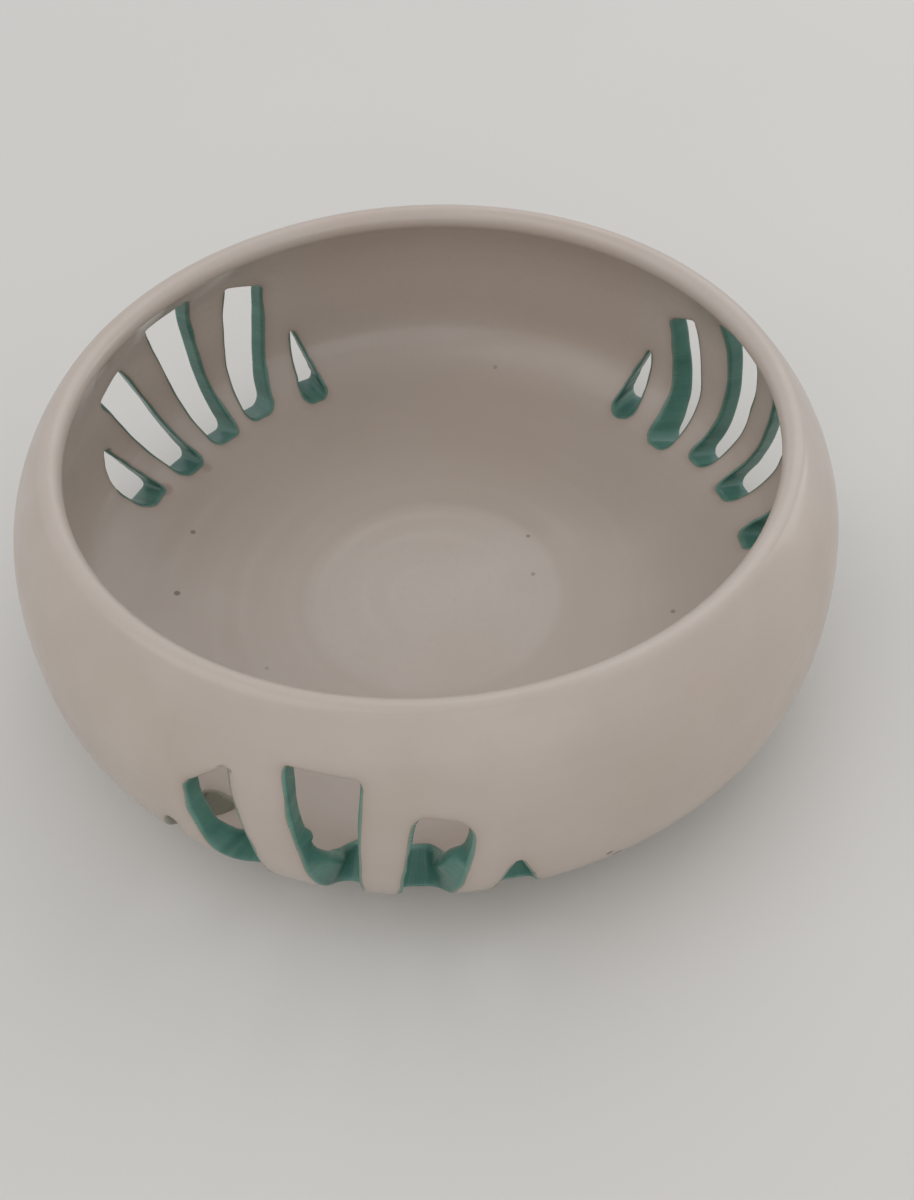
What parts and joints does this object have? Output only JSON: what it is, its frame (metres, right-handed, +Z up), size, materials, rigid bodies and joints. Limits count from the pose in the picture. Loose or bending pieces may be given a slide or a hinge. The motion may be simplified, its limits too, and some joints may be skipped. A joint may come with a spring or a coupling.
{
  "type": "yarn bowl",
  "caption": "Wide, low round ceramic bowl for a ball of yarn, with a rolled rim, a turned foot and fans of tall slots cut through the wall to lead the strand out.",
  "frame": {"origin": "middle of the foot ring, in the plane that the bowl stands on", "axes": "+Z up along the axis on which the bowl was thrown, -Y towards the viewer and the front fan of slots, +X to the viewer's right"},
  "size_m": [0.26, 0.2598, 0.092],
  "materials": {
    "pale_glazed_stoneware": "glossy pale pinkish beige glaze with throwing rings and a few iron specks, bare clay under the foot",
    "green_glaze": "glossy teal green brushed glaze, darker where it lies thick"
  },
  "bodies": {
    "root": {"bowl_body": "pale_glazed_stoneware", "front_fan_slot_1_glaze": "green_glaze", "front_fan_slot_2_glaze": "green_glaze", "front_fan_slot_3_glaze": "green_glaze", "front_fan_slot_4_glaze": "green_glaze", "front_fan_slot_5_glaze": "green_glaze", "back_right_fan_slot_1_glaze": "green_glaze", "back_right_fan_slot_2_glaze": "green_glaze", "back_right_fan_slot_3_glaze": "green_glaze", "back_right_fan_slot_4_glaze": "green_glaze", "back_right_fan_slot_5_glaze": "green_glaze", "back_left_fan_slot_1_glaze": "green_glaze", "back_left_fan_slot_2_glaze": "green_glaze", "back_left_fan_slot_3_glaze": "green_glaze", "back_left_fan_slot_4_glaze": "green_glaze", "back_left_fan_slot_5_glaze": "green_glaze"}
  },
  "joints": []
}
